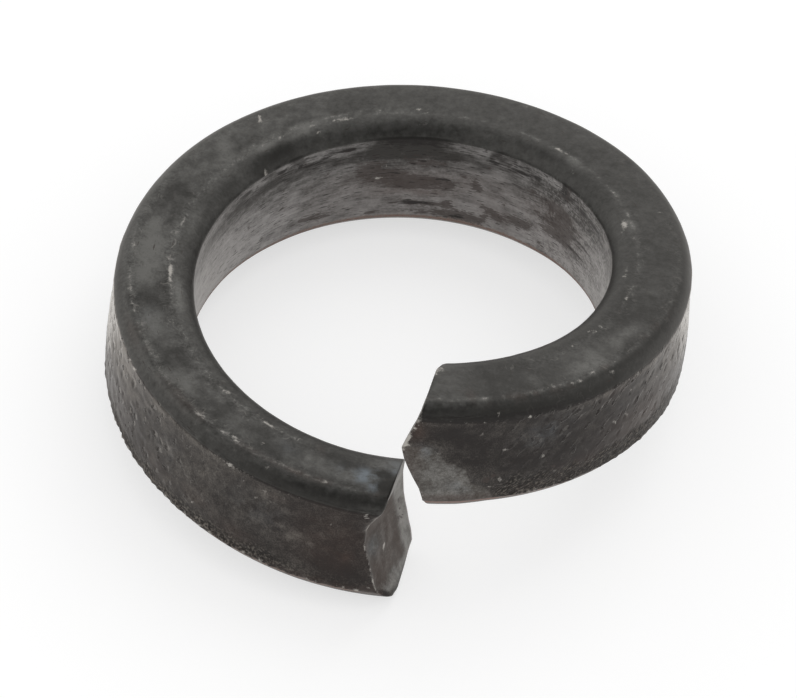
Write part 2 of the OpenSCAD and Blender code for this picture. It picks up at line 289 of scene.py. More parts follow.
BORE_CRISP = {95: 0.35, 125: 0.3, 142: 0.1, 165: 0.1, 185: 0.2, 200: 0, 212: 0.1, 225: 0.9, 260: 1.1}
BORE_OIL = {135: 0, 155: 1, 225: 1, 242: 0.2}
BORE_RUST = {80: 0, 100: 0.8, 140: 0.7, 175: 0.75, 255: 0.8, 280: 0}

# On the outer wall: painted light and shade at four heights, mottling, relief in mm, strokes, scratches, the worn
# corner, the rough band and how far down it lies, the teeth with their wear and rust, and the height of the smooth
# patch's edge
WALL_PAINTED_SHADING = {
    0: -0.05, 20: -0.08, 31: -0.03, 46: 0.02, 60: -0.1, 285: -0.2, 302: -0.34, 313: -0.25, 325: -0.18, 336: -0.08,
    343: 0.02, 350: 0.02,
}
LOW_WALL_PAINTED_SHADE = {284: 0, 293: 0.6, 313: 0.5, 325: 0}
WALL_FOOT_PAINTED_SHADING = {15: 0, 28: 0.3, 34: 0.45, 50: 0.45, 58: 0.35, 64: -0.1, 75: -0.1, 85: 0}
WALL_CORNER_PAINTED_SHADING = {
    20: 0, 34: 0.25, 50: 0.3, 58: 0.1, 75: 0.3, 288: 0.1, 298: 0.45, 312: 0.35, 326: 0.12, 334: -0.15, 341: -0.1,
    345: 0.2,
}
WALL_MOTTLE = {-8: 0.8, 5: 0.6, 40: 0.6, 55: 1, 300: 1, 325: 0.75, 350: 0.75}
RELIEF = {-10: 0, 40: 0.004, 65: 0.012, 180: 0.01, 285: 0.004, 330: 0.003, 346: 0}
KNURL = {
    -10: 0, 33: 0, 40: 0.35, 50: 0.8, 62: 1.1, 90: 1, 115: 0.5, 255: 0.5, 285: 0.95, 322: 0.8, 332: 0.45, 338: 0.15,
    346: 0,
}
WALL_SCRATCHED = {10: 0, 40: 0.5, 290: 0.3, 325: 0.3, 335: 0}
CORNER_LINE = {
    3: 0.05, 17: 0.2, 28: 0.4, 38: 0.4, 45: 0.3, 60: 0.4, 66: 0.3, 90: 0.3, 290: 0.25, 318: 0.4, 325: 0.35, 332: 0.4,
    336: 0.2, 343: 0.25, 346: 0.2, 352: 0.1,
}
ROUGH_BAND = {
    -8: 0.1, 12: 0.2, 22: 0.9, 32: 0.95, 45: 0.95, 62: 0.9, 75: 0.5, 100: 0.3, 280: 0.3, 292: 0.8, 300: 1.05,
    322: 0.85, 336: 0.85, 340: 0.1,
}
ROUGH_BAND_DOWN = {20: 0.3, 60: 0.45, 200: 0}
SERRATION = {-6: 0.5, 4: 0.9, 70: 1, 120: 0.6, 240: 0.4, 295: 0.5, 334: 0.5, 339: 0.1, 360: 0.05}
TEETH_WEAR = {-6: 0.3, 4: 0.8, 20: 1.25, 45: 1.4, 65: 1.4, 85: 0.5, 120: 0.2, 240: 0.2, 295: 0.6, 334: 0.9, 339: 0}
EDGE_RUST = {
    -6: 0, 0: 0.4, 5: 0.8, 25: 0.8, 45: 0.7, 65: 0.45, 90: 0.1, 240: 0.1, 300: 0.35, 318: 0.5, 334: 0.6, 338: 0.3,
}
PATCH_EDGE = {335: -2.6, 337: -1.9, 338.5: -1.45, 342.5: -1, 343.5: -0.5, 346: 0, 348.5: 0.3, 351: 0.78, 356: 0.86}

# Painted light: how much paler the outer wall is painted where it is seen at a grazing angle: a broad painted shine on
# its upper part with painted shade on its lower part, and a painted glare nearer the rim
WALL_PAINTED_SHEEN = {120: 2.2, 240: 1.36}
WALL_PAINTED_GLARE = {120: 1.15, 240: 0.95}

# The wall leans out a little towards its lower edge: mm against height above mid-section
WALL_BULGE = {-1.95: 0.07, -1.2: 0.1, -0.3: 0.08, 0.5: 0.03, 1.2: 0, 1.95: 0}

# Small local departures of the edges from the true coil, in mm against angle
FIT_OUTER_LOW = {
    -8: 0, 15: 0.03, 60: 0.03, 75: 0, 290: 0, 302: -0.01, 314: -0.015, 322: -0.025, 338: -0.03, 344: 0.03, 357: 0.045,
}
FIT_OUTER_TOP = {55: 0, 75: -0.04, 105: -0.04, 125: 0, 235: 0, 255: -0.04, 285: -0.04, 300: 0}
FIT_BORE_TOP = {262: 0, 285: 0.045, 325: 0.045, 340: 0, 350: -0.05}
FIT_BORE_LOW = {92: -0.04, 120: -0.04, 140: 0, 215: 0, 232: -0.035, 265: -0.035}

# Knurl: rows of toothed dimples pressed into the outer wall by the wire feeder. Pitch and reach are angles
KNURL_PITCH, KNURL_REACH = 3.9, 6
KNURL_ROWS = (1.68, 1.2, 0.62, 0.05, -0.6, -1.15)
KNURL_SIZE, KNURL_DEPTH, KNURL_LEAST, KNURL_MISSING = 0.3, 0.035, 0.006, 0.25
# Strength of the painted shade in each dimple and of the painted highlight on its rim, against its depth
KNURL_PAINTED_SHADING = 5.0
# Teeth along the lower outer edge, from one to the next in mm
TEETH_PITCH = 0.36

# Rounding of the ends' edges in mm, against corners passed: 0 bore top, 1 outer top, 2 outer bottom, 3 bore bottom
LOW_EDGE_RADII = {
    0: 0.05, 0.97: 0.06, 1.05: 0.3, 1.26: 0.25, 1.42: 0.05, 1.95: 0.06, 2.1: 0.13, 2.3: 0.16, 2.37: 0.05, 4: 0.05,
}
HIGH_EDGE_RADII = {0: 0.25, 0.15: 0.28, 0.3: 0.06, 1: 0.05, 2: 0.04, 3.8: 0.06, 4: 0.25}
# Wear along those edges, on the bar's side of them: the same places, with strengths
LOW_EDGE_WEAR = {0: 0.1, 0.9: 0.1, 1: 0.25, 1.3: 0.2, 1.42: 0.6, 1.9: 0.65, 2.02: 0.4, 2.3: 0.1, 4: 0.1}
HIGH_EDGE_WEAR = {
    0: 0.5, 0.1: 0.5, 0.3: 0.15, 0.7: 0.3, 0.9: 0.35, 1.03: 0.6, 1.08: 0.8, 1.36: 0.9, 1.42: 0.4, 1.9: 0.35, 2: 0.3,
    2.3: 0.1, 4: 0.3,
}

# How far out from the bore the burnished strip on a sheared face reaches, against height above mid-section
BURNISHED = {-2: 0.8, -0.4: 0.7, 0.3: 0.75, 1: 0.95, 1.5: 1.5, 2.2: 3.5}
# Bright nicks on the low end's face: radius, height above mid-section, width, height, strength
FACE_NICKS = [(10.05, -0.65, 0.1, 0.07, 2.2), (10.45, 2.2, 0.08, 0.08, 0.7)]

# A mark is at half strength on its own outline. The stations near it are picked with some degrees to spare, as they
# lean with the ends' skew
HALF_STRENGTH = 0.69
SKEW_REACH = 9


# ---- section and coil


def shoulder(size, cells):
    """A rolled shoulder as (distance out from the land, drop below it), from the land to the wall."""
    turn = math.radians(SHOULDER_TURN)
    a = np.linspace(0, turn, cells + 1)
    return size[0] * np.sin(a) / math.sin(turn), size[1] * (1 - np.cos(a)) / (1 - math.cos(turn))


def land_profile(bore_r, outer_r, cells):
    """Radius and height above mid-section over the top, from the bore wall to the outer wall."""
    inner_x, inner_y = shoulder(INNER_SHOULDER, cells[0])
    outer_x, outer_y = shoulder(OUTER_SHOULDER, cells[2])
    land_in, land_out = bore_r + INNER_SHOULDER[0], outer_r - OUTER_SHOULDER[0]
    land = np.linspace(land_in, land_out, cells[1] + 1)[1:-1]
    r = np.concatenate([land_in - inner_x[::-1], land, land_out + outer_x])
    v = np.concatenate([HALF - inner_y[::-1], np.full(len(land), HALF), HALF - outer_y])
    return r, v


def section(bore_r, outer_r):
    """The closed outline as radius and height above mid-section: over the top, down the outside, up the bore."""
    top_r, top_v = land_profile(bore_r, outer_r, TOP_CELLS)
    low_r, low_v = land_profile(bore_r, outer_r, LOW_CELLS)
    down = np.linspace(top_v[-1], -top_v[-1], WALL_CELLS + 1)[1:-1]
    up = np.linspace(-top_v[0], top_v[0], BORE_CELLS + 1)[1:-1]
    r = np.concatenate([top_r, np.full(len(down), outer_r), low_r[::-1], np.full(len(up), bore_r)])
    v = np.concatenate([top_v, down, -low_v[::-1], up])
    return r, v


def outward(r, v):
    """Outward unit normals of a closed outline, as radial and vertical parts."""
    tr, tv = np.roll(r, -1) - np.roll(r, 1), np.roll(v, -1) - np.roll(v, 1)
    length = np.hypot(tr, tv)
    return -tv / length, tr / length


def coil_z(a):
    """Height of the lower land at an angle around the coil."""
    return COIL_RISE * (a - FOOT_ANGLE) / 360 + LOW_SET * (np.exp(-(a - FOOT_ANGLE) / LOW_SET_RUN) - 1)


def face_angle(r, v, bore_r, outer_r, end):
    """Angle around the coil at which a sheared face meets a point of the section."""
    inner, outer = (LOW_IN, LOW_OUT) if end == "low" else (HIGH_IN, HIGH_OUT)
    t = (r - bore_r) / (outer_r - bore_r)
    x = (1 - t) * np.interp(v, *inner) + t * np.interp(v, *outer)
    return (0 if end == "low" else 360) - np.degrees(np.arcsin(x / r))


def place(r, v, a):
    """Points in millimetres in the row frame."""
    t = np.radians(a)
    return np.stack([-r * np.sin(t), -r * np.cos(t), coil_z(a) + HALF + v], -1)


# ---- shapes of fields


def value_noise(x, y, cell, seed):
    """Smooth random field from about -1 to 1, with features as wide as cell."""
    rng = np.random.default_rng(SEED * 1000 + seed)
    lattice = rng.uniform(-1, 1, (LATTICE, LATTICE))
    x, y = np.asarray(x) / cell, np.asarray(y) / cell
    ix, iy = np.floor(x).astype(int), np.floor(y).astype(int)
    fx, fy = smooth(x - ix, 0, 1), smooth(y - iy, 0, 1)
    at = [[lattice[(ix + i) % LATTICE, (iy + j) % LATTICE] for i in (0, 1)] for j in (0, 1)]
    low, high = (left * (1 - fx) + right * fx for left, right in at)
    return low * (1 - fy) + high * fy


def fractal(x, y, cell, seed, octaves=3):
    """Several octaves of value noise."""
    return sum(value_noise(x, y, cell / 2**k, seed + k) / 2**k for k in range(octaves)) / (2 - 2 ** (1 - octaves))


def band(x, points):
    """A value read off a short table of values by place, constant outside it."""
    return np.interp(x, list(points), list(points.values()))


def smooth(x, low, high):
    """Smooth step of x from low to high."""
    t = np.clip((x - low) / (high - low), 0, 1)
    return t * t * (3 - 2 * t)


def line(x, centre, width):
    """A soft line along x = centre."""
    return np.exp(-(((x - centre) / width) ** 2))


def spot(u, w):
    """A soft round spot, at half strength at a distance of 1 from its centre."""
    return np.exp(-HALF_STRENGTH * (u**2 + w**2))


def near(middle, angle, reach):
    """Stations of the coil within reach of an angle."""
    rows = np.nonzero(np.abs(middle - angle) < reach)[0]
    return slice(rows[0], rows[-1] + 1)


class Surface:
    """The swept bar as a grid of stations along the coil by outline points, with its relief and fields."""

    def __init__(self, bore_r, outer_r):
        self.bore_r, self.outer_r = bore_r, outer_r
        self.land_in, self.land_out = bore_r + INNER_SHOULDER[0], outer_r - OUTER_SHOULDER[0]
        r, v = section(bore_r, outer_r)
        self.corners = np.cumsum([0, sum(TOP_CELLS), WALL_CELLS, sum(LOW_CELLS), BORE_CELLS])
        self.m = len(r)
        nr, nv = outward(r, v)
        steps = np.hypot(np.diff(r, append=r[0]), np.diff(v, append=v[0]))
        girth = np.concatenate([[0], np.cumsum(steps)[:-1]])
        # At each end the outline draws in over a few stations, which rounds the face's edge
        radius_low, radius_high = self.edge_radius(LOW_EDGE_RADII), self.edge_radius(HIGH_EDGE_RADII)
        theta = np.linspace(0, math.pi / 2, ROUND_STEPS)[:, None]
        inset_low, inset_high = radius_low * (1 - np.sin(theta)), radius_high * (1 - np.sin(theta[::-1]))
        along_low, along_high = radius_low * (1 - np.cos(theta)), radius_high * (1 - np.cos(theta[::-1]))
        between, rest = STATIONS + 1 - 2 * ROUND_STEPS, STATIONS + 1 - ROUND_STEPS
        inset = np.vstack([inset_low, np.zeros((between, self.m)), inset_high])
        self.r, self.v = r - inset * nr, v - inset * nv
        low = face_angle(self.r, self.v, bore_r, outer_r, "low")
        high = face_angle(self.r, self.v, bore_r, outer_r, "high")
        start = low + np.degrees(np.vstack([along_low] + [along_low[-1:]] * rest) / self.r)
        end = high - np.degrees(np.vstack([along_high[:1]] * rest + [along_high]) / self.r)
        k = np.concatenate([np.zeros(ROUND_STEPS), np.linspace(0, 1, between + 2)[1:-1], np.ones(ROUND_STEPS)])
        k = (k - CROWDING * np.sin(2 * math.pi * k) / (2 * math.pi))[:, None]
        self.a = start + (end - start) * k
        self.nr, self.nv = nr, nv
        self.girth = np.broadcast_to(girth, self.a.shape)
        self.arc = np.radians(self.a) * (bore_r + outer_r) / 2
        self.height = np.zeros(self.a.shape)
        self.fields = {name: np.zeros(self.a.shape) for name in FIELDS}

    def edge_radius(self, pairs):
        """A value at each outline point, from values by corners passed."""
        return band(np.interp(np.arange(self.m), self.corners, range(5)), pairs)

    def side(self, name):
        """Columns of the grid that make up one side of the bar, with their angle, radius, height and arc."""
        _, a, b, c, d = self.corners
        sides = {"top": slice(0, a + 1), "wall": slice(a, b + 1), "teeth": slice(a, c + 1), "bore": np.r_[c:d, 0]}
        cols = sides[name]
        return cols, self.a[:, cols], self.r[:, cols], self.v[:, cols], self.arc[:, cols]

    def paint(self, cols, **values):
        """Adds to fields on some columns of the grid."""
        for name, value in values.items():
            self.fields[name][:, cols] += value

    def dab(self, side, **fields):
        """Adds soft ellipses to fields on one side of the bar."""
        cols, a, r, v, _ = self.side(side)
        across = r if side == "top" else v
        middle = a.mean(1)
        for name, marks in fields.items():
            for angle, level, length, width, strength, *slant in marks:
                rows = near(middle, angle, math.degrees(2 * max(length, width) / self.bore_r) + SKEW_REACH)
                x, y = np.radians(a[rows] - angle) * r[rows], across[rows] - level
                turn = math.radians(slant[0]) if slant else 0
                c, k = math.cos(turn), math.sin(turn)
                u, w = (x * c + y * k) * 2 / length, (y * c - x * k) * 2 / width
                self.fields[name][rows, cols] += strength * spot(u, w)


# ---- dressing the surface


def dress_top(s):
    """Worn lines along the land, painted light and shade on the land and its shoulders, and the marks and films on the
    top.
    """
    cols, a, r, _, arc = s.side("top")
    patchy = 0.6 + 0.8 * fractal(arc, r, 0.7, 20) + 1.4 * fractal(arc, r, 0.17, 26, 2)
    wander = 0.06 * value_noise(arc, r * 0, 1.5, 24)
    wear = 0.85 * band(a, LAND_LINE_IN) * line(r, s.land_in + wander, 0.09)
    wear += band(a, SECOND_LINE) * line(r, s.land_in + 0.22 + wander, 0.1)
    wear += band(a, LAND_LINE_OUT) * line(r, s.land_out + 0.03 + wander, 0.11)
    wear = np.maximum(wear, 0) * np.maximum(patchy, 0)
    flat = 1 - 0.75 * smooth(np.abs(r - LAND_MIDDLE), 0.75, 0.95)
    mottle = 0.4 * fractal(arc, r, 1.1, 110, 4) + 0.5 * fractal(arc, r, 0.35, 115, 2)
    mottled = band(a, LAND_MOTTLE)
    film = smooth(fractal(arc, r, 0.5, 27), 0.0, 0.5) * smooth(np.abs(a - 180), 90, 120)
    s.paint(
        cols,
        pale=wear + 0.5 * mottled * smooth(fractal(arc, r, 0.16, 118, 2), 0.5, 0.8),
        # Painted light and shade on the shoulders and by angle on the land, with mottling
        haze=0.9 * wear + painted_shoulder_shading(s, a, r) + band(a, LAND_PAINTED_SHADING) + mottled * flat * mottle,
        # Painted shade on the shoulders' outer corners, in the colour of grooves
        deep=smooth(r, s.land_out + 0.42, s.land_out + 0.6) * band(a, SHOULDER_CORNER_PAINTED_SHADE),
        brown=0.35 * line(r, s.land_out + 0.1, 0.2) * film,
        scratch=band(a, SCRATCHED) * (line(r, s.land_out - 0.05, 0.22) + line(r, s.land_in + 0.1, 0.25) + 0.25),
    )
    s.dab("top", pale=TOP_PALE, haze=TOP_HAZE, blue=TOP_BLUE, brown=TOP_BROWN)
    edges = 0.022 * line(r, s.land_in, 0.3) + 0.03 * line(r, s.land_out, 0.28)
    s.height[:, cols] += 0.012 * fractal(arc, r, 2.2, 30) + 0.005 * fractal(arc, r, 0.5, 34) - edges


def painted_shoulder_shading(s, a, r):
    """Painted light and shade on the upper shoulders: painted shade on the outer sides by the split, and lighter or
    darker painted lines along them.
    """
    right = smooth(a, 302, 318) * (0.9 - 0.25 * smooth(a, 325, 345))
    left = smooth(-a, -50, -15) * (0.1 + 0.6 * smooth(a, -2, 6))
    inner = band(a, INNER_SHOULDER_PAINTED_SHADING)
    tone = -0.36 * smooth(r, s.land_out + 0.3, s.land_out + 0.58) * (right + left)
    tone += np.maximum(inner, 0) * line(r, s.land_in - 0.53, 0.25)
    tone += np.minimum(inner, 0) * line(r, s.land_in - 0.62, 0.42)
    return tone + band(a, OUTER_SHOULDER_PAINTED_SHADING) * line(r, s.land_out + 0.26, 0.13)


def fit_edges(s):
    """Moves the four long edges by their small local departures."""
    a, r, v = s.a, s.r, s.v
    outer, inner = smooth(r, s.outer_r - 0.7, s.outer_r - 0.3), smooth(-r, -s.bore_r - 1.0, -s.bore_r - 0.5)
    s.height += outer * (smooth(-v, 1.2, 1.9) * band(a, FIT_OUTER_LOW) + smooth(v, 0.2, 1.6) * band(a, FIT_OUTER_TOP))
    s.height += inner * (smooth(v, 1.0, 2.0) * band(a, FIT_BORE_TOP) + smooth(-v, 1.0, 2.0) * band(a, FIT_BORE_LOW))


def press_knurl(s):
    """Presses rows of small shallow dimples: each is deepest at its low side and has a raised rim above it. Each dimple
    is painted with shade and its rim with a painted highlight.
    """
    rng = np.random.default_rng(SEED)
    cols, a, _, v, _ = s.side("wall")
    middle = a.mean(1)
    for row, level in enumerate(KNURL_ROWS):
        for column in range(int(360 / KNURL_PITCH)):
            shift, lift, size, lean = rng.uniform(-1, 1, 4)
            angle = (column + 0.5 * (row % 2)) * KNURL_PITCH + 0.8 * shift
            depth = KNURL_DEPTH * band(angle, KNURL) * (0.7 + 0.4 * size)
            centre = level + 0.1 * lift
            if depth < KNURL_LEAST or centre < band(angle, PATCH_EDGE) + 0.2 or rng.random() < KNURL_MISSING:
                continue
            rows = near(middle, angle, KNURL_REACH)
            x, y = np.radians(a[rows] - angle) * s.outer_r, v[rows] - centre
            half = KNURL_SIZE * (1 + 0.35 * lean) / 2
            slope = 0.8 if angle > 180 else 0.1
            u, w = (x + slope * y) / (0.6 * half), (y - 0.3 * x) / (1.2 * half)
            reach = np.hypot(u, w)
            dent = smooth(1.15 - reach, 0, 0.55) * (0.75 - 0.25 * w)
            rim = line(reach, 1.35, 0.28) * smooth(w - 0.3 * u, -0.2, 0.8)
            s.height[rows, cols] += depth * (0.4 * rim - dent)
            # Painted shade in the dimple and a painted highlight on its rim
            s.fields["haze"][rows, cols] -= KNURL_PAINTED_SHADING * depth * dent
            s.fields["pale"][rows, cols] += KNURL_PAINTED_SHADING * depth * rim


def dress_wall(s):
    """The outer wall: feeder knurl, a rough band over its lower edge, a smooth patch by the high end, and painted light
    and shade, with a painted shine and glare at grazing angles.
    """
    cols, a, _, v, arc = s.side("wall")
    press_knurl(s)
    patch = smooth(band(a, PATCH_EDGE) + 0.25 * fractal(arc, v, 0.5, 40) - v, -0.1, 0.2)
    down = 0.75 + band(a, ROUGH_BAND_DOWN)
    rough = band(a, ROUGH_BAND) * smooth(-v + 0.3 * fractal(arc, v, 0.5, 42), down, down + 0.6) * (1 - patch)
    grit = fractal(arc, v, 0.22, 44) + 0.6 * fractal(arc, v, 0.45, 46)
    relief = (1 - patch) * (0.008 + band(a, RELIEF)) * fractal(arc, v, 0.33, 52)
    s.height[:, cols] += band(v, WALL_BULGE) + rough * 0.03 * grit + 0.01 * fractal(arc, v, 1.6, 48) + relief
    mottle = 0.35 * fractal(arc, v, 0.8, 50, 4) + 0.45 * fractal(arc, v, 0.25, 54, 2)
    tone = 0.22 * patch + (0.6 - 0.3 * patch) * band(a, WALL_MOTTLE) * mottle + 0.25 * rough * grit
    # Painted light and shade: a level by angle, shade low on the right, and painted bands at the top corner and the
    # foot
    tone += band(a, WALL_PAINTED_SHADING) - band(a, LOW_WALL_PAINTED_SHADE) * smooth(-v, 0.2, 1.2)
    tone += band(a, WALL_CORNER_PAINTED_SHADING) * smooth(v, 1.55, 1.85) + band(a, WALL_FOOT_PAINTED_SHADING) * smooth(-v, 1.5, 1.8)
    stroked = np.maximum(smooth(-a, -180, -90) * smooth(v, -1.9, -1.2), 0.2 + 0.8 * smooth(v, -0.8, 0.5))
    corner = band(a, CORNER_LINE) * line(v, OUTER_CORNER - 0.03, 0.06)
    s.paint(
        cols,
        pale=corner * (0.8 + 0.9 * fractal(arc, v, 0.45, 60)),
        haze=tone,
        rough=rough,
        knurl=band(a, KNURL) * (1 - patch) * stroked,
        scratch=band(a, WALL_SCRATCHED),
        blue=0.06 * patch,
        brown=0.5 * patch * smooth(-v, 1.5, 1.8) + 0.6 * patch * smooth(a, 350.5, 355),
        # Painted shine on the upper wall and painted shade on the lower wall, both shown at grazing angles
        sheen=band(a, WALL_PAINTED_SHEEN) * (smooth(v, -1.3, 1.2) - 0.45),
        glaze=band(a, WALL_PAINTED_GLARE) * smooth(v, -1.6, 0.6),
        zone_end=patch,
    )
    s.dab("wall", pale=WALL_PALE, haze=WALL_HAZE, brown=WALL_BROWN, blue=WALL_BLUE, blot=WALL_BLOT)


def serrate(s):
    """Small irregular teeth along the lower outer corner, with rubbed reddish tips, and painted shade below the corner.
    """
    cols, a, r, v, arc = s.side("teeth")
    edge = -OUTER_CORNER
    drift = 0.8 * value_noise(arc, v * 0, 2.0, 65)
    teeth = 0.7 * value_noise(arc, v * 0, 0.15, 64) + 0.4 * np.sin(2 * math.pi * (arc / TEETH_PITCH + drift))
    outer = smooth(r, s.outer_r - 0.4, s.outer_r - 0.05)
    strength = band(a, SERRATION)
    s.height[:, cols] += line(v, edge, 0.14) * outer * strength * (0.04 * teeth + 0.01)
    ragged = 0.7 * teeth + 0.9 * fractal(arc, v, 0.16, 66, 2)
    rust = (0.9 + 0.25 * teeth) * band(a, EDGE_RUST) * line(v, edge - 0.2, 0.09) * outer
    rust += (1.0 + 0.3 * fractal(arc, v, 0.6, 67)) * smooth(a, 334, 338) * line(v, edge - 0.22, 0.06) * outer
    s.paint(
        cols,
        pale=0.62 * line(v, edge, 0.13) * outer * band(a, TEETH_WEAR) * smooth(ragged, -0.1, 0.5),
        brown=0.7 * line(v, edge - 0.1, 0.25) * outer * strength,
        rust=rust,
        blot=0.7 * line(v, edge, 0.2) * outer * strength * smooth(-ragged, 0.0, 0.6) * smooth(a, -6, -1),
        # Painted shade below the lower outer corner
        haze=-0.9 * smooth(edge - v, -0.03, 0.08) * outer,
    )


def wear_edges(s):
    """Burrs and bright wear on the bar's surfaces beside the sheared faces, broader and flaky at the high end."""
    for row, pairs, sign, spread in ((0, LOW_EDGE_WEAR, 1, 0.55), (-1, HIGH_EDGE_WEAR, -1, 1.8)):
        distance = sign * np.radians(s.a - s.a[row]) * s.r
        broken = smooth(fractal(s.girth, distance, 0.3, 120), -0.15, 0.2)
        width = spread * (0.05 + 0.07 * np.abs(fractal(s.girth, distance, 0.25, 124, 2)))
        s.fields["pale"] += s.edge_radius(pairs) * line(distance, 0.02, width) * (0.25 + 0.75 * broken)


def dress_bore(s):
    """The bore wall: a pale strip under the corner, a darker band below it, painted light and shade, oil, rust, stains
    and scratches.
    """
    cols, a, _, v, arc = s.side("bore")
    ragged = 0.1 * fractal(arc, v, 0.6, 70, 4)
    jagged = a + 4.5 * fractal(arc * 0.5, v, 0.16, 71, 2)
    torn = 0.72 + 0.5 * fractal(arc * 0.3, v, 0.12, 73, 2)
    strip = smooth(v + ragged, 1.38, 1.58) * band(jagged, BORE_STRIP) * torn
    # Painted light and shade: a level by angle, lighter towards the foot and darker towards the top
    slope = band(a, BORE_PAINTED_SHADING) + band(a, BORE_PAINTED_LIGHT_DOWN) * smooth(-v, 0.2, 1.2) - band(a, BORE_PAINTED_SHADE_UP) * smooth(v, -0.3, 1.6)
    dark = line(v + ragged, 1.24, 0.26) * band(a, BORE_BAND)
    # Painted shade spilling from the shoulder over the corner at the back, where the strip breaks off
    painted_shade_gap = band(a + 1.5 * value_noise(arc * 0.5, v, 0.25, 77), BORE_PAINTED_SHADE_GAP) * smooth(v + 0.6 * ragged, 0.95, 1.75)
    spots = band(a, BORE_SPOTS) * fractal(arc * 0.35, v, 0.25, 78, 2)
    s.paint(
        cols,
        haze=0.75 * strip - 0.5 * dark - 0.75 * painted_shade_gap + slope + 0.5 * spots,
        # Painted shade in the colour of grooves below the corner at the back, and darker towards the top elsewhere
        deep=0.8 * painted_shade_gap * smooth(v, 1.3, 1.9) + 0.25 * smooth(v, 0.8, 1.3) * (1 - painted_shade_gap),
        rust=line(v, -2.05, 0.09) * band(a, BORE_RUST),
        brown=0.25 * smooth(-v, -0.9, -0.2) * band(a, BORE_OIL),
        scratch=band(a, BORE_CRISP),
    )
    s.dab("bore", pale=BORE_PALE, blot=BORE_BLOT, brown=BORE_BROWN, deep=BORE_DEEP)
    relief = 0.004 * value_noise(arc * 0.25, v, 0.12, 74) + 0.006 * fractal(arc, v, 1.5, 76)
    s.height[:, cols] += relief - 0.012 * smooth(s.fields["blot"][:, cols], 0.4, 0.8)


def face_fields(s, r, v, end):
    """Fields on a sheared face: a burnished strip by the bore, wider at the top, and a browner zone outside it. Painted
    glints lie along the strip low down and across the face near the top, and it is darker at the top by the bore.
    """
    t = (r - s.bore_r) / (s.outer_r - s.bore_r)
    low_edge = -HALF + INNER_SHOULDER[1] * np.clip(1 - (r - s.bore_r) / INNER_SHOULDER[0], 0, 1) ** 2
    inside = np.maximum(band(v, BURNISHED) - (r - s.bore_r), 0.65 - (v - low_edge))
    burnished = smooth(inside + 0.21 * fractal(r, v, 0.7, 80), -0.15, 0.25)
    painted_glint = 0.4 * line(inside, 0.3, 0.2) * line(v, -1.6, 0.7) + 0.9 * line(v, 1.8, 0.35)
    painted_glint -= 1.2 * smooth(v, 2.15, 2.45) * smooth(0.5 - t, 0, 0.3)
    film = spot((t - 0.82) / 0.14, (v + 0.1) / 0.35)
    middle = smooth(v + 0.8, 0, 0.3) * smooth(0.7 - v, 0, 0.3)
    pits = smooth(fractal(r, v, 0.14, 81, 2), 0.3, 0.5) * line(inside, 0.15, 0.3) * middle
    mottle = 0.3 * fractal(r, v, 0.7, 84) + 0.4 * fractal(r, v, 0.2, 86, 2)
    pale = 0 * t
    for spot_r, spot_v, width, height, strength in FACE_NICKS if end == "low" else ():
        pale += strength * spot((r - spot_r) / width, (v - spot_v) / height)
    return {
        "haze": 0.68 * burnished + 0.35 * painted_glint + mottle,
        "brown": 0.7 * (1 - burnished) * (1 - film),
        "blue": 0.35 * film + 0.12 * burnished,
        "blot": 1.6 * pits,
        "pale": pale,
        "zone_end": np.ones(t.shape),
    }


def face_bulge(s, r, v, end):
    """Outward relief of a sheared face in mm: faint shear ridges, and none at its rim."""
    t, h = (r - s.bore_r) / (s.outer_r - s.bore_r), (v + HALF) / THICKNESS
    rim = smooth(np.minimum(np.minimum(t, 1 - t) * WIDTH, np.minimum(h, 1 - h) * THICKNESS), 0.02, 0.35)
    ridge = value_noise(r, v * 0.25, 0.28, 90 if end == "low" else 94)
    return rim * (0.02 * ridge + 0.04 * fractal(r, v, 0.9, 98 if end == "low" else 102))


# ---- mesh


def link(name, data):
    """An object of the scene made from its data."""
    obj = bpy.data.objects.new(name, data)
    bpy.context.scene.collection.objects.link(obj)
    return obj


def cap(s, r, v, end):
    """Rings of points that close an end inside its outline, as points and fields. The last point is the centre."""
    shrink = np.append(1 - np.arange(1, CAP_RINGS) / CAP_RINGS, 0)[:, None]
    r, v = r.mean() + (r - r.mean()) * shrink, v.mean() + (v - v.mean()) * shrink
    bulge = np.degrees(face_bulge(s, r, v, end) / r)
    a = face_angle(r, v, s.bore_r, s.outer_r, end) + (-bulge if end == "low" else bulge)
    count = (CAP_RINGS - 1) * s.m + 1
    fields = {name: field.reshape(-1)[:count] for name, field in face_fields(s, r, v, end).items()}
    return place(r, v, a).reshape(-1, 3)[:count], fields


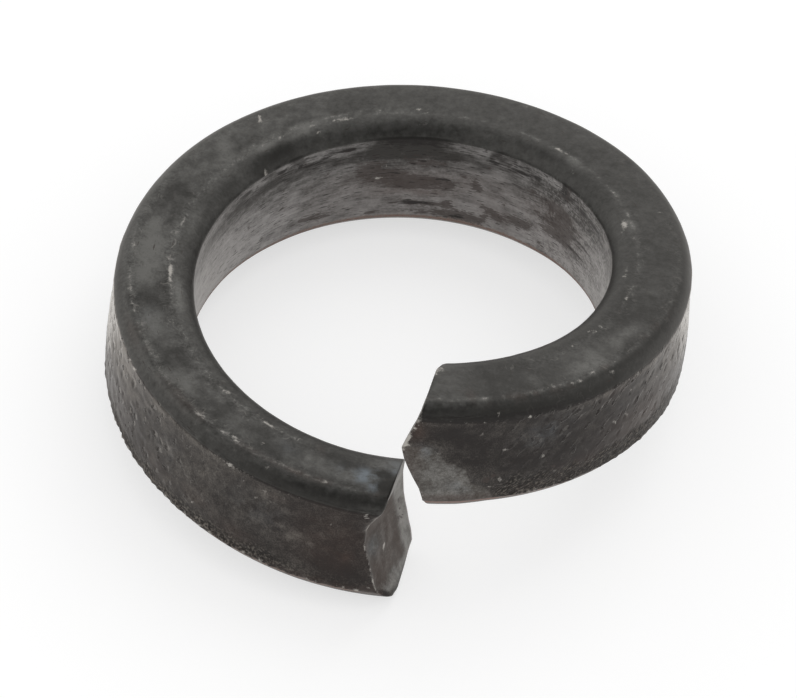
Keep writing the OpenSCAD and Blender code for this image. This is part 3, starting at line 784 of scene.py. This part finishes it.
def make_piece(s):
    """The bar's mesh with its two closed ends, its fields as attributes, as one object."""
    n, m = s.a.shape
    r, v = s.r + s.height * s.nr, s.v + s.height * s.nv
    idx = np.arange(n * m).reshape(n, m)
    after = np.roll(idx, -1, axis=1)
    points = [place(r, v, s.a).reshape(-1, 3)]
    quads, fans = [np.stack([idx[:-1], after[:-1], after[1:], idx[1:]], -1).reshape(-1, 4)], []
    fields = {name: [field.reshape(-1)] for name, field in s.fields.items()}
    fields["arc"], fields["girth"] = [s.arc.reshape(-1)], [s.girth.reshape(-1)]
    count = n * m
    for end, row in (("low", 0), ("high", n - 1)):
        inner, looks = cap(s, r[row], v[row], end)
        rings = np.vstack([idx[row], count + np.arange(len(inner) - 1).reshape(-1, m)])
        after = np.roll(rings, -1, axis=1)
        cells = np.stack([rings[:-1], rings[1:], after[1:], after[:-1]], -1).reshape(-1, 4)
        fan = np.stack([rings[-1], np.full(m, count + len(inner) - 1), after[-1]], -1)
        turn = slice(None) if end == "low" else slice(None, None, -1)
        quads.append(cells[:, turn])
        fans.append(fan[:, turn])
        points.append(inner)
        for name in fields:
            fields[name].append(looks.get(name, np.zeros(len(inner))))
        count += len(inner)
    mesh = bpy.data.meshes.new("washer_steel")
    mesh.from_pydata((np.vstack(points) * MM).tolist(), [], np.vstack(quads).tolist() + np.vstack(fans).tolist())
    mesh.shade_smooth()
    for name, parts in fields.items():
        data = np.concatenate(parts).astype(np.float32)
        mesh.attributes.new(name, "FLOAT", "POINT").data.foreach_set("value", data)
    return link("washer_steel", mesh)


# ---- materials
# Colours as they should look, as 0-255 parts
TOP_DARK, TOP_LIGHT = (48, 47, 45), (106, 105, 102)
WALL_DARK, WALL_LIGHT = (41, 38, 37), (113, 108, 102)
BORE_DARK, BORE_LIGHT = (57, 55, 53), (151, 148, 146)
END_DARK, END_LIGHT = (60, 56, 52), (138, 136, 132)
BROWN_FILM, BLUE_FILM = (72, 56, 50), (112, 118, 123)
# The dark colour of grooves also paints shade on the shoulders' outer corners and in the bore
STAIN, GROOVE_AND_SHADE, CUT = (62, 55, 52), (42, 40, 39), (40, 37, 36)
CHIP_DARK, CHIP_LIGHT = (36, 34, 32), (124, 119, 110)
# The nick colour is painted shade in the strokes; the pale wear colour also paints glare and highlights on rims
NICK_PAINTED_SHADE, WORN_AND_HIGHLIGHT = (34, 31, 29), (164, 160, 154)
RUST_PALE, RUST_RED = (130, 113, 104), (124, 72, 54)

METALLIC = 0.8
SPECULAR_TINT = (1.0, 0.975, 0.95, 1.0)
BUMP_STRENGTH, BUMP_MM = 0.6, 0.02
# Layer Weight's facing at which the outer wall's painted shine and then its painted glare begin and are full
PAINTED_SHEEN_FACING, PAINTED_GLARE_FACING = (0.5, 0.92), (0.73, 0.95)
# Millimetres round the coil where the feeder's strokes turn from upright, on the left, to slanted, on the right
TURN_ARC = (32.0, 42.0)


def srgb(r, g, b):
    """A colour as it should look, from 0-255 parts, as linear RGBA."""
    return tuple(((c / 255 + 0.055) / 1.055) ** 2.4 if c > 10 else c / 255 / 12.92 for c in (r, g, b)) + (1.0,)


class Graph:
    """Short calls that add shader nodes to one material or world."""

    def __init__(self, owner):
        owner.use_nodes = True
        self.tree = owner.node_tree
        self.tree.nodes.clear()

    def add(self, kind, inputs=None, output=0, **settings):
        """Adds a node with its inputs, which are sockets or plain values, and gives one of its outputs."""
        node = self.tree.nodes.new("ShaderNode" + kind)
        for key, value in settings.items():
            setattr(node, key, value)
        for key, value in (inputs or {}).items():
            if isinstance(value, bpy.types.NodeSocket):
                self.tree.links.new(value, node.inputs[key])
            else:
                node.inputs[key].default_value = value
        return node.outputs[output]

    def field(self, name):
        """A field painted on the surface."""
        return self.add("Attribute", output="Fac", attribute_name=name)

    def math(self, operation, a, b=0.0, c=0.0):
        return self.add("Math", {0: a, 1: b, 2: c}, operation=operation)

    def times(self, a, b):
        return self.math("MULTIPLY", a, b)

    def total(self, *terms):
        """Weighted sum of (value, weight) pairs and plain values."""
        out = 0.0
        for term in terms:
            value, weight = term if isinstance(term, tuple) else (term, 1.0)
            out = self.math("MULTIPLY_ADD", value, weight, out)
        return out

    def step(self, value, low, high, to=(0.0, 1.0)):
        """Smooth step of value from low to high."""
        inputs = {"Value": value, "From Min": low, "From Max": high, "To Min": to[0], "To Max": to[1]}
        return self.add("MapRange", inputs, interpolation_type="SMOOTHSTEP")

    def point(self, x, y, z=0.0):
        """A place made of its coordinates."""
        return self.add("CombineXYZ", {0: x, 1: y, 2: z})

    def noise(self, where, cell, detail=2.0, rough=0.5, warp=0.0):
        """Noise from 0 to 1 about 0.5, with features about cell wide in the units of where."""
        inputs = {"Vector": where, "Scale": 1 / cell, "Detail": detail, "Roughness": rough, "Distortion": warp}
        return self.add("TexNoise", inputs)

    def mix(self, factor, a, b):
        """Blend from colour a to colour b. Each is a socket or 0-255 parts."""
        a, b = (srgb(*colour) if isinstance(colour, tuple) else colour for colour in (a, b))
        return self.add("Mix", {0: factor, 6: a, 7: b}, output=2, data_type="RGBA")

    def rays(self, *kinds):
        """1 for rays of these kinds and 0 for the others."""
        out = 0.0
        for kind in kinds:
            out = self.math("MAXIMUM", out, self.add("LightPath", output=f"Is {kind} Ray"))
        return out

    def finish(self, surface, kind="OutputMaterial"):
        node = self.tree.nodes.new("ShaderNode" + kind)
        self.tree.links.new(surface, node.inputs["Surface"])


def steel_graph(material):
    """A graph with the places and noises that the steel's layers share. Noises are named by their size."""
    g = Graph(material)
    place_m = g.add("TexCoord", output="Object")
    g.place_mm = g.add("VectorMath", {0: place_m, 1: (1 / MM,) * 3}, operation="MULTIPLY")
    g.arc, g.girth = g.field("arc"), g.field("girth")
    along = g.point(g.times(g.arc, 0.22), g.times(g.girth, 1.6))
    g.fine = g.noise(g.place_mm, 0.05, 1.0)
    g.speck = g.noise(g.place_mm, 0.11, 1.0)
    g.grain = g.noise(g.place_mm, 0.3, 3.0, 0.6)
    g.mottle = g.noise(g.place_mm, 0.8, 3.0, 0.6, 0.4)
    g.cloud = g.noise(g.place_mm, 2.2, 3.0, 0.55, 0.5)
    g.streak = g.noise(along, 0.3, 3.0, 0.6)
    g.fine_streak = g.noise(along, 0.1, 2.0, 0.6)
    return g


def turning(g, left, right):
    """A value for the left of the coil that turns into another for the right."""
    return g.step(g.arc, *TURN_ARC, (left, right))


def bare_steel(g, haze):
    """Bare colour: each side of the bar has a tone of its own, which random tone and painted light and shade lift or
    lower.
    """
    fine, speck, grain, mottle, cloud = g.fine, g.speck, g.grain, g.mottle, g.cloud
    streak, fine_streak, scratch = g.streak, g.fine_streak, g.field("scratch")
    patchy = g.times(haze, g.total((mottle, 1.1), (grain, 0.9), (speck, 0.5), (fine, 0.3), -0.4))
    crisp = g.times(g.total(fine, speck, -1.0), scratch)
    drawn = g.times(g.total(fine_streak, speck, -1.0), scratch)
    top = ((cloud, 0.12), (mottle, 0.2), (grain, 0.53), (speck, 0.2), (crisp, 0.3), (patchy, 0.8), -0.18)
    wall = ((cloud, 0.2), (mottle, 0.2), (grain, 0.4), (speck, 0.3), (fine, 0.6), (patchy, 0.8), -0.55)
    bore = ((streak, 0.6), (fine_streak, 0.25), (mottle, 0.4), (speck, 0.15), (haze, 0.8), (drawn, 0.8), -0.245)
    end = ((mottle, 0.3), (grain, 0.6), (speck, 0.5), (fine, 0.5), (haze, 0.75), -0.75)
    colour = g.mix(g.step(g.total(*top), -0.1, 0.9), TOP_DARK, TOP_LIGHT)
    for zone, tone, full, dark, light in (
        ("zone_wall", wall, 1.2, WALL_DARK, WALL_LIGHT),
        ("zone_bore", bore, 0.95, BORE_DARK, BORE_LIGHT),
        ("zone_end", end, 1.2, END_DARK, END_LIGHT),
    ):
        inside = g.step(g.total(g.field(zone), (speck, 0.2), -0.1), 0.4, 0.6)
        colour = g.mix(inside, colour, g.mix(g.step(g.total(*tone), 0.0, full), dark, light))
    return colour


def films(g, colour):
    """Brown and blue films, dark stains, dark grooves whose colour also paints shade on the shoulders' outer corners
    and at the back of the bore below its corner, and fine cuts drawn along the bore.
    """
    speck, grain, mottle, deep = g.speck, g.grain, g.mottle, g.field("deep")
    brown = g.times(g.field("brown"), g.total((mottle, 0.8), (grain, 0.6), -0.2))
    blue = g.times(g.field("blue"), g.step(g.total((mottle, 0.6), (grain, 0.4)), 0.38, 0.62))
    stain = g.total(g.field("blot"), (grain, 0.6), (g.streak, 1.3), (g.fine_streak, 2.0), -1.95)
    groove_and_shade_mask = g.total(deep, (g.fine_streak, 0.8), (speck, 0.4), -0.6)
    drawn = g.noise(g.point(g.times(g.arc, 0.12), g.girth, 7.0), 0.07, 1.0)
    cut = g.step(g.total(drawn, (mottle, 0.15), (deep, 0.2), -0.075), 0.64, 0.7)
    colour = g.mix(brown, colour, BROWN_FILM)
    colour = g.mix(blue, colour, BLUE_FILM)
    colour = g.mix(g.step(stain, 0.34, 0.6, (0.0, 0.75)), colour, STAIN)
    colour = g.mix(g.step(groove_and_shade_mask, 0.45, 0.75, (0.0, 0.85)), colour, GROOVE_AND_SHADE)
    return g.mix(g.times(cut, g.times(g.field("zone_bore"), 0.75)), colour, CUT)


def chips(g):
    """Noise of the rough band's chips: low where a chip is gone and high on what stands."""
    across = g.math("MULTIPLY_ADD", g.girth, turning(g, 0.0, -0.8), g.arc)
    where = g.point(across, g.times(g.girth, 0.8), 3.0)
    return g.total((g.noise(where, 0.1, 2.0, 0.6), 1.3), (g.speck, 0.3), -0.3)


def strokes(g):
    """Small strokes left by the feeder's knurl, as (nick, raised lip). The nick is painted with shade and the lip with
    a painted highlight.
    """
    across = g.math("MULTIPLY_ADD", g.girth, turning(g, 0.0, -0.6), g.arc)
    pitch, rise = turning(g, 1 / 0.34, 1 / 0.3), turning(g, 1 / 0.55, 1 / 0.6)
    out = []
    for shift, rare in ((0.0, 0.44), (0.3, 0.56)):
        x = g.math("MULTIPLY_ADD", across, pitch, g.total((g.mottle, 3.0), shift))
        y = g.math("MULTIPLY_ADD", g.girth, rise, 0.6 * shift)
        inputs = {"Vector": g.point(x, y), "Scale": 1.0, "Randomness": 0.9}
        distance = g.add("TexVoronoi", inputs, "Distance", voronoi_dimensions="2D")
        chosen = g.add("SeparateColor", {0: distance.node.outputs["Color"]}, "Red")
        stroke = g.times(g.step(distance, 0.14, 0.26, (1.0, 0.0)), g.step(chosen, rare, rare + 0.1))
        out.append(g.times(stroke, g.field("knurl")))
    nick, lip = out
    return nick, g.math("MAXIMUM", g.math("SUBTRACT", lip, nick), 0.0)


def scratches(g):
    """Thin curling pale scratches, here and there."""
    out = 0.0
    for cell, shift in ((0.5, 40.0), (0.9, 80.0)):
        moved = g.add("VectorMath", {0: g.place_mm, 1: (shift,) * 3}, operation="ADD")
        curl = g.noise(moved, cell, 2.0, 0.45, 0.4)
        away = g.math("ABSOLUTE", g.math("SUBTRACT", curl, 0.5))
        there = g.step(g.noise(moved, 0.4, 1.0), 0.55, 0.66)
        out = g.math("MULTIPLY_ADD", g.step(away, 0.006, 0.02, (1.0, 0.0)), there, out)
    return g.times(out, g.field("scratch"))


def pale_wear_and_highlight(g, pale, lip):
    """How far the steel is rubbed to a pale shine, with the painted glare and the painted highlights on rims in the
    same pale colour.
    """
    wear_and_highlight = g.step(g.total(pale, (g.speck, 0.7), (g.fine, 0.6), (g.grain, 0.4), -0.85), 0.25, 0.95)
    lip = g.times(lip, turning(g, 0.3, 0.13))
    return g.math("MAXIMUM", wear_and_highlight, g.math("MAXIMUM", lip, g.times(scratches(g), 0.22)))


def thin_rust(g):
    """Thin rust on the lower edges, as (how much, its colour)."""
    rust, speck, fine = g.field("rust"), g.speck, g.fine
    red = g.step(g.total(rust, (speck, 0.6), (fine, 0.6), -0.6), 0.5, 0.95)
    amount = g.step(g.total(rust, (speck, 0.8), (fine, 0.8), -0.8), 0.12, 0.42, (0.0, 0.85))
    return g.times(amount, g.step(rust, 0.03, 0.15)), g.mix(red, RUST_PALE, RUST_RED)


def steel():
    """Dark spring steel with wear. The painted fields say where it is pale, stained, brown, rough or scratched, and
    where light and shade, glare and highlights are painted.
    """
    material = bpy.data.materials.new("dark_steel")
    g = steel_graph(material)
    edge_on = g.add("LayerWeight", {"Blend": 0.5}, output="Facing")
    # Painted light that shows at grazing angles: the outer wall's painted shine and painted glare
    haze = g.math("MULTIPLY_ADD", g.field("sheen"), g.step(edge_on, *PAINTED_SHEEN_FACING), g.field("haze"))
    pale = g.math("MULTIPLY_ADD", g.field("glaze"), g.step(edge_on, *PAINTED_GLARE_FACING), g.field("pale"))
    chip, rough_band, bore = chips(g), g.field("rough"), g.field("zone_bore")
    nick, lip = strokes(g)
    wear_and_highlight, (rust, rust_colour) = pale_wear_and_highlight(g, pale, lip), thin_rust(g)

    colour = films(g, bare_steel(g, haze))
    colour = g.mix(g.times(rough_band, g.step(chip, 0.44, 0.54, (0.95, 0.0))), colour, CHIP_DARK)
    colour = g.mix(g.times(rough_band, g.step(chip, 0.57, 0.66, (0.0, 0.48))), colour, CHIP_LIGHT)
    # Painted shade in the strokes' nicks
    colour = g.mix(g.times(nick, 0.8), colour, NICK_PAINTED_SHADE)
    # Wear, with painted glare and painted highlights on rims, in one pale colour
    colour = g.mix(wear_and_highlight, colour, WORN_AND_HIGHLIGHT)
    colour = g.mix(rust, colour, rust_colour)

    rough = g.total((g.grain, 0.2), (g.mottle, 0.15), (wear_and_highlight, -0.08), (g.field("zone_wall"), -0.14), (bore, -0.1), 0.3)
    rough = g.total(rough, (rust, 0.3), (rough_band, 0.22))
    chipped, streaks = g.times(chip, rough_band), g.times(bore, 0.8)
    bumps = g.total((g.grain, 0.4), (g.speck, 0.2), (g.fine, 0.1), (nick, -2.0), (lip, 0.8), (chipped, 2.5))
    bumps = g.total(bumps, (g.streak, streaks))
    inputs = {
        "Base Color": colour,
        "Roughness": rough,
        "Normal": g.add("Bump", {"Height": bumps, "Distance": BUMP_MM * MM, "Strength": BUMP_STRENGTH}),
        "Specular Tint": SPECULAR_TINT,
        "Metallic": g.math("MULTIPLY_ADD", rust, -METALLIC, METALLIC),
    }
    g.finish(g.add("BsdfPrincipled", inputs))
    return material


# ---- stage and camera

# Rest plane of the free washer: how far it rises to the right and to the back, from the coil's rise
REST_SLOPE = (0.0739, 0.1161)
FLOOR_RADIUS = 180
FLOOR_FADE = (26, 60)
FLOOR_GLOW = 0.62
FLOOR_LIT, FLOOR_SHOWN = (0.9, 0.9, 0.9, 1), (0.45, 0.45, 0.45, 1)

# Dark card: an arc over the washer from the front, low down, to past overhead
CARD_FROM, CARD_TO, CARD_STEPS = 18, 118, 24
CARD_RADIUS = 170
CARD_WIDTH = 220
CARD_COLOUR = (0.05, 0.05, 0.05, 1)
WHITE = (1, 1, 1, 1)

# Overhead lamp: its azimuth is 0 on the camera's side, and its power is in watts
LAMP_AZIMUTH, LAMP_ELEVATION, LAMP_DISTANCE = 150, 60, 320
LAMP_SIZE, LAMP_POWER = 220, 0.15
WORLD_LEVEL = 0.8

CAMERA_ELEVATION = 41.47
CAMERA_ROLL = 6.47
CAMERA_DISTANCE = 234.8
CAMERA_LENS = 271.6
CAMERA_SENSOR = 36
CAMERA_CLIP = (0.01, 10)
CAMERA_CENTRE_Z = 5.2
AIM_BELOW = 1.553


def studio_floor():
    """A pale floor that renders white, keeps the washer's shadow and fades out before its rim.

    From below it isn't seen.
    """
    material = bpy.data.materials.new("pale_floor")
    g = Graph(material)
    seen = g.rays("Camera")
    lit = g.add("BsdfDiffuse", {"Color": FLOOR_LIT})
    glow = g.add("Emission", {"Color": WHITE, "Strength": FLOOR_GLOW})
    shown = g.add("AddShader", {0: g.add("BsdfDiffuse", {"Color": FLOOR_SHOWN}), 1: glow})
    surface = g.add("MixShader", {0: g.rays("Camera", "Glossy", "Transmission"), 1: lit, 2: shown})
    where = g.add("TexCoord", output="Object")
    distance = g.add("VectorMath", {0: where}, output="Value", operation="LENGTH")
    fade = g.step(distance, FLOOR_FADE[0] * MM, FLOOR_FADE[1] * MM)
    below = g.add("NewGeometry", output="Backfacing")
    hidden = g.times(seen, g.math("MAXIMUM", fade, below))
    g.finish(g.add("MixShader", {0: hidden, 1: surface, 2: g.add("BsdfTransparent")}))
    return material


def lay_floor(piece):
    """The floor, on the plane that the washer's lowest points rest on."""
    co = np.zeros(len(piece.data.vertices) * 3)
    piece.data.vertices.foreach_get("co", co)
    x, y, z = co.reshape(-1, 3).T
    offset = (z - x * REST_SLOPE[0] - y * REST_SLOPE[1]).min()
    normal = Vector((-REST_SLOPE[0], -REST_SLOPE[1], 1)).normalized()
    bpy.ops.mesh.primitive_circle_add(vertices=96, radius=FLOOR_RADIUS * MM, fill_type="NGON", location=(0, 0, offset))
    floor = bpy.context.object
    floor.name = "floor"
    floor.rotation_mode = "QUATERNION"
    floor.rotation_quaternion = Vector((0, 0, 1)).rotation_difference(normal)
    floor.data.materials.append(studio_floor())


def card():
    """A dark card for the steel to reflect. The camera doesn't see it and it casts no shadow."""
    turns = np.radians(np.linspace(CARD_FROM, CARD_TO, CARD_STEPS + 1))
    reach, sides = CARD_RADIUS * MM, (-CARD_WIDTH / 2 * MM, CARD_WIDTH / 2 * MM)
    points = [(x, -math.cos(a) * reach, math.sin(a) * reach) for a in turns for x in sides]
    faces = [(2 * i, 2 * i + 1, 2 * i + 3, 2 * i + 2) for i in range(CARD_STEPS)]
    mesh = bpy.data.meshes.new("dark_card")
    mesh.from_pydata(points, [], faces)
    material = bpy.data.materials.new("dark_card")
    g = Graph(material)
    g.finish(g.add("BsdfDiffuse", {"Color": CARD_COLOUR}))
    mesh.materials.append(material)
    obj = link("dark_card", mesh)
    obj.visible_camera = obj.visible_diffuse = obj.visible_shadow = False


def world():
    """White to the camera and in the steel, and a plain level for diffuse light."""
    made = bpy.data.worlds.new("studio")
    bpy.context.scene.world = made
    g = Graph(made)
    level = g.step(g.rays("Camera", "Glossy", "Transmission"), 0.0, 1.0, (WORLD_LEVEL, 1.0))
    g.finish(g.add("Background", {"Color": WHITE, "Strength": level}), "OutputWorld")


def lamp():
    """A soft square lamp that faces the washer from above."""
    a, e = math.radians(LAMP_AZIMUTH), math.radians(LAMP_ELEVATION)
    back = Vector((math.sin(a) * math.cos(e), -math.cos(a) * math.cos(e), math.sin(e)))
    data = bpy.data.lights.new("soft_overhead", "AREA")
    data.size = LAMP_SIZE * MM
    data.energy = LAMP_POWER
    obj = link("soft_overhead", data)
    obj.location = back * LAMP_DISTANCE * MM
    obj.rotation_mode = "QUATERNION"
    obj.rotation_quaternion = back.to_track_quat("Z", "Y")


def camera():
    """The photo's camera: in front and above, rolled, and aimed a little below the washer's centre."""
    e, roll = math.radians(CAMERA_ELEVATION), math.radians(CAMERA_ROLL)
    back, right = Vector((0, -math.cos(e), math.sin(e))), Vector((1, 0, 0))
    up = back.cross(right) * math.cos(roll) - right * math.sin(roll)
    centre = Vector((0, 0, CAMERA_CENTRE_Z)) * MM
    eye = centre + back * CAMERA_DISTANCE * MM
    look = (centre - up * AIM_BELOW * MM - eye).normalized()
    side = look.cross(up).normalized()
    turn = Matrix((side, side.cross(look), -look)).transposed()
    data = bpy.data.cameras.new("camera")
    data.lens = CAMERA_LENS
    data.sensor_width = CAMERA_SENSOR
    data.clip_start, data.clip_end = CAMERA_CLIP
    cam = link("camera", data)
    cam.matrix_world = Matrix.Translation(eye) @ turn.to_4x4()
    bpy.context.scene.camera = cam


# ---- the whole


def build():
    """The piece around its CAD node, the stage and the camera."""
    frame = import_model()
    low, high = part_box("washer")
    s = Surface(frame["record"]["mounts"][0]["dims"]["r_mm"], (high.x - low.x) / 2 / MM)
    s.fields["zone_bore"][:, s.corners[3] - BORE_LAP : s.corners[4]] = 1
    s.fields["zone_wall"][:, s.corners[1] : s.corners[2] + WALL_LAP] = 1
    for dress in (dress_top, dress_wall, serrate, dress_bore, wear_edges, fit_edges):
        dress(s)
    piece = make_piece(s)
    piece.data.materials.append(steel())
    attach(piece, "root")
    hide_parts("washer")
    lay_floor(piece)
    for add in (card, world, lamp, camera):
        add()
    bpy.context.scene.view_settings.view_transform = "Standard"


build()
